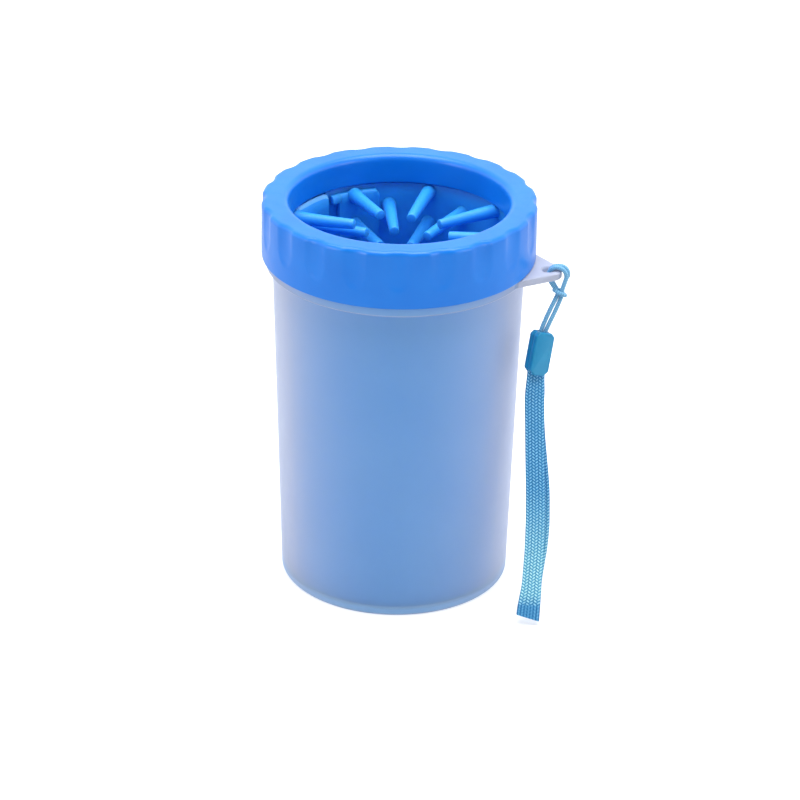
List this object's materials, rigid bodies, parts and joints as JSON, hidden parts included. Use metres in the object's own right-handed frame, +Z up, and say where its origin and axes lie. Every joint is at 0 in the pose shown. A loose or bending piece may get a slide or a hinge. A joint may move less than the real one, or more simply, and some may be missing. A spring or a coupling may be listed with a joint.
{
  "type": "paw washer cup",
  "caption": "Cup with a soft bristle lining, a fluted screw-on ring with an open centre, and a wrist lanyard on a side lug.",
  "frame": {"origin": "centre of the cup's flat underside, on the cup's axis", "axes": "+Z up along the cup's axis, towards the open ring; +X to the side of the lanyard lug, which stands 13 degrees forward of it; -Y to the front"},
  "size_m": [0.1115, 0.1, 0.15],
  "materials": {
    "cup_plastic": "frosted translucent polypropylene, satin",
    "ring_plastic": "smooth satin-gloss blue",
    "gasket_rubber": "plain silicone seal",
    "sleeve_silicone": "soft blue silicone, satin",
    "cord_fabric": "braided round cord",
    "clamp_plastic": "moulded teal-blue plastic",
    "strap_webbing": "flat braided webbing"
  },
  "bodies": {
    "cup": {"cup_body": "cup_plastic", "bristle_sleeve": "sleeve_silicone"},
    "gasket": {"rim_gasket": "gasket_rubber"},
    "ring": {"screw_ring": "ring_plastic"},
    "lanyard": {"lanyard_cord": "cord_fabric", "strap_clamp_front": "clamp_plastic", "strap_clamp_rear": "clamp_plastic"},
    "strap": {"wrist_strap": "strap_webbing"}
  },
  "joints": [
    {"name": "ring_lift", "type": "slide", "parent": "cup", "child": "gasket", "axis": [0, 0, 1], "range_m": [0, 0.02]},
    {"name": "ring_turn", "type": "hinge", "parent": "gasket", "child": "ring", "pos_m": [0, 0, 0.1384], "axis": [0, 0, 1], "range_deg": [0, 1442]},
    {"name": "lanyard_swing", "type": "hinge", "parent": "cup", "child": "lanyard", "pos_m": [0.05758, -0.01329, 0.12625], "axis": [-0.225, -0.9744, 0], "range_deg": [0, 80]},
    {"name": "strap_flex", "type": "hinge", "parent": "lanyard", "child": "strap", "pos_m": [0.05043, -0.02356, 0.08842], "axis": [1, 0, 0], "range_deg": [-70, 70]}
  ],
  "couplings": [
    {"joint": "ring_turn", "follows": "ring_lift", "rad_per_m": 1256.6}
  ]
}
